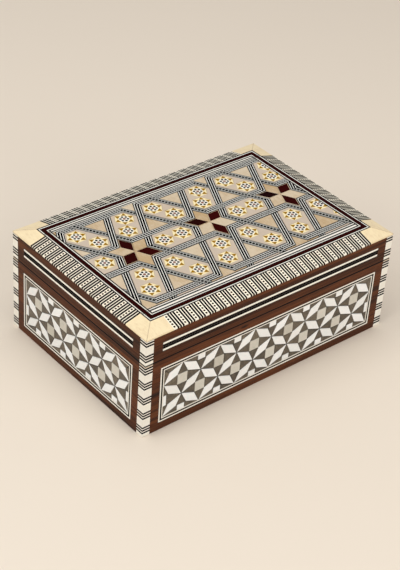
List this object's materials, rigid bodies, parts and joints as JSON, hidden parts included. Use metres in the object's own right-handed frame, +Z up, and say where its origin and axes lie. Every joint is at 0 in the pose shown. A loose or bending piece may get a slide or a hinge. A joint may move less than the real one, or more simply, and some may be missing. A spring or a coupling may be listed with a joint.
{
  "type": "inlaid wooden chest box",
  "caption": "Rectangular wooden chest box with a hinged lid, geometric bone and pearl inlay on the sides, and star strapwork marquetry on the lid.",
  "frame": {"origin": "middle of the underside of the closed box", "axes": "+X to the right along the long front, +Y to the back where the hinges are, +Z up"},
  "size_m": [0.2, 0.1394, 0.076],
  "materials": {
    "veneered_wood": "polished",
    "plain_wood": "bare, sanded",
    "pearl": "polished shell",
    "grey_pearl": "polished shell",
    "horn": "mottled, polished",
    "bone": "polished",
    "beige_bone": "mottled, polished",
    "ebony": "polished",
    "red_wood": "polished",
    "striped_strip": "striped, polished",
    "strap_strip": "striped, polished",
    "mastic": "matt",
    "velvet": "short pile",
    "brass": "satin"
  },
  "bodies": {
    "base": {"base_front_board": "veneered_wood", "front_pearl_petals": "pearl", "front_grey_squares": "grey_pearl", "front_horn_ground": "horn", "base_back_board": "veneered_wood", "back_pearl_petals": "pearl", "back_grey_squares": "grey_pearl", "back_horn_ground": "horn", "base_left_board": "veneered_wood", "left_pearl_petals": "pearl", "left_grey_squares": "grey_pearl", "left_horn_ground": "horn", "base_right_board": "veneered_wood", "right_pearl_petals": "pearl", "right_grey_squares": "grey_pearl", "right_horn_ground": "horn", "base_floor_board": "plain_wood", "mosaic_beds": "mastic", "base_bone_strings": "bone", "base_strip_bone": "bone", "base_ebony_strings": "ebony", "base_strip_ebony": "ebony", "base_lining_pad": "velvet", "base_lining_walls": "velvet", "hinge_left_base_leaf": "brass", "hinge_right_base_leaf": "brass", "hinge_left_pin": "brass", "hinge_right_pin": "brass"},
    "lid": {"lid_front_board": "veneered_wood", "lid_border_front": "striped_strip", "lid_back_board": "veneered_wood", "lid_border_back": "striped_strip", "lid_left_board": "veneered_wood", "lid_border_left": "striped_strip", "lid_right_board": "veneered_wood", "lid_border_right": "striped_strip", "lid_top_board": "veneered_wood", "lid_band_bone": "bone", "lid_bone_corners": "bone", "lid_frame_bone": "bone", "lid_strip_bone": "bone", "lid_star_bone_rhombs": "bone", "lid_medallions": "bone", "lid_field_bed": "bone", "lid_bone_triangles": "beige_bone", "lid_field_ground": "beige_bone", "lid_band_ebony": "ebony", "lid_frame_ebony": "ebony", "lid_strip_ebony": "ebony", "lid_frame_red": "red_wood", "lid_star_red_rhombs": "red_wood", "lid_straps": "strap_strip", "lid_lining_pad": "velvet", "lid_lining_walls": "velvet", "hinge_left_lid_leaf": "brass", "hinge_right_lid_leaf": "brass"}
  },
  "joints": [
    {"name": "lid_hinge", "type": "hinge", "parent": "base", "child": "lid", "pos_m": [0, 0.0684, 0.054], "axis": [-1, 0, 0], "range_deg": [0, 100]}
  ]
}
